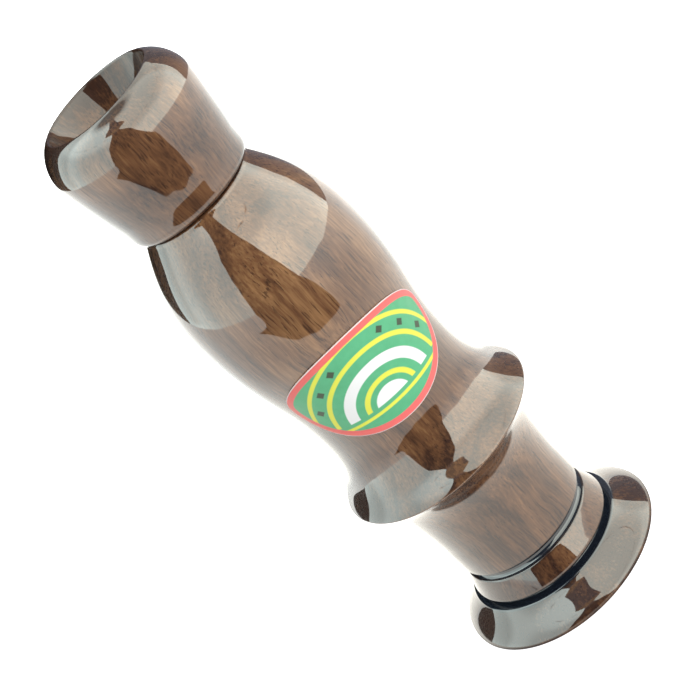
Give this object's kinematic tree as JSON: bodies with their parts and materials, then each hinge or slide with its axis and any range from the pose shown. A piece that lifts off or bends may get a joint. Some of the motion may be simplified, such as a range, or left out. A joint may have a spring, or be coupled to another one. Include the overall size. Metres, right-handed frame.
{
  "type": "predator call",
  "caption": "Hand-held closed-reed game call: turned walnut barrel with flared bell, pull-out cup mouthpiece with sealed tenon, and a reed voice inside.",
  "frame": {"origin": "middle of the bell's flat rim, on the surface that the call stands on", "axes": "+Z along the turning axis from the bell to the mouth; -Y is the side with the sticker; +X is to the right of it"},
  "size_m": [0.037, 0.037, 0.1103],
  "materials": {
    "lacquered_walnut": "thick clear gloss coat",
    "vinyl_sticker": "glossy printed vinyl",
    "ring_rubber": "matte moulded rubber",
    "sleeve_brass": "drawn tube, lightly polished",
    "trough_plastic": "moulded, satin",
    "reed_bronze": "cold-rolled strip",
    "wedge_plastic": "moulded, matte"
  },
  "bodies": {
    "barrel": {"barrel": "lacquered_walnut", "barrel_label": "vinyl_sticker"},
    "seal_rings": {"tenon_ring_upper": "ring_rubber", "tenon_ring_lower": "ring_rubber"},
    "mouthpiece": {"mouthpiece": "lacquered_walnut", "reed_sleeve": "sleeve_brass", "tone_trough": "trough_plastic", "reed_wedge": "wedge_plastic"},
    "reed": {"reed": "reed_bronze"}
  },
  "joints": [
    {"name": "mouthpiece_pull", "type": "slide", "parent": "barrel", "child": "seal_rings", "axis": [0, 0, 1], "range_m": [0, 0.024]},
    {"name": "mouthpiece_twist", "type": "hinge", "parent": "seal_rings", "child": "mouthpiece", "pos_m": [0, 0, 0.0902], "axis": [0, 0, 1], "continuous": true},
    {"name": "reed_bend", "type": "hinge", "parent": "mouthpiece", "child": "reed", "pos_m": [0, 0, 0.079], "axis": [-1, 0, 0], "range_deg": [-1, 2.4], "stiffness_Nm_per_rad": 0.0005}
  ]
}
